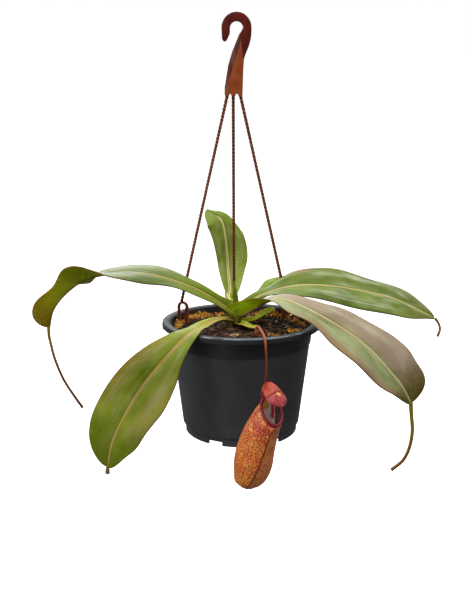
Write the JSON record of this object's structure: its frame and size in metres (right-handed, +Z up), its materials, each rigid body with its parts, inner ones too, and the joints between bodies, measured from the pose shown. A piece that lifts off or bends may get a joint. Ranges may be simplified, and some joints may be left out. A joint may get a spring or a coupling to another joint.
{
  "type": "hanging pitcher plant in pot",
  "caption": "Tropical pitcher plant in a black nursery pot: glossy strap leaves with tendrils, a speckled orange pitcher with ribbed rim and lid, hung by a moulded hook on twisted strands.",
  "frame": {"origin": "the saddle of the hanger's hook, the inner top of the bend that rests on the rod or nail it hangs from", "axes": "+Z up along the pot's axis, +X to the right and +Y to the back as the plant is seen with its pitcher in front"},
  "size_m": [0.3914, 0.2179, 0.4039],
  "materials": {
    "pot_plastic": "satin black moulded plastic with soft vertical sheen",
    "potting_mix": "crumbly dark peat and bark with golden moss and bark crumbs",
    "hanger_plastic": "red-brown moulded plastic, worn and slightly glossy",
    "leaf_green": "glossy olive green leaf with pale midrib and reddish margin",
    "leaf_young": "satin yellow-green young leaf",
    "stem_green": "satin green stem",
    "tendril_brown": "satin olive to brown tendril",
    "tendril_red": "satin orange-red tendril with a dried brown fold",
    "pitcher_skin": "satin orange skin with fine crimson dashes and a yellow net",
    "pitcher_rim_skin": "glossy crimson ribbed rim",
    "lid_skin": "satin salmon-red lid with fine veins"
  },
  "bodies": {
    "root": {"pot": "pot_plastic", "potting_mix": "potting_mix", "hanger_hook": "hanger_plastic", "hanger_strand_left": "hanger_plastic", "hanger_strand_right": "hanger_plastic", "hanger_strand_back": "hanger_plastic", "hanger_clip_left": "hanger_plastic", "hanger_clip_right": "hanger_plastic", "hanger_clip_back": "hanger_plastic", "stem": "stem_green", "leaf_new_spear": "leaf_young", "leaf_right_front": "leaf_green", "leaf_left": "leaf_green", "leaf_right_upper": "leaf_green", "leaf_front_left": "leaf_green", "leaf_back": "leaf_green", "leaf_small_behind": "leaf_young", "leaf_narrow": "leaf_young", "leaf_pitcher_stalk": "leaf_young", "tendril_left": "tendril_brown", "tendril_right_front": "tendril_brown", "tendril_right_upper": "tendril_brown", "tendril_pitcher": "tendril_red", "pitcher_cup": "pitcher_skin", "pitcher_rim": "pitcher_rim_skin", "pitcher_lid": "lid_skin"}
  },
  "joints": []
}
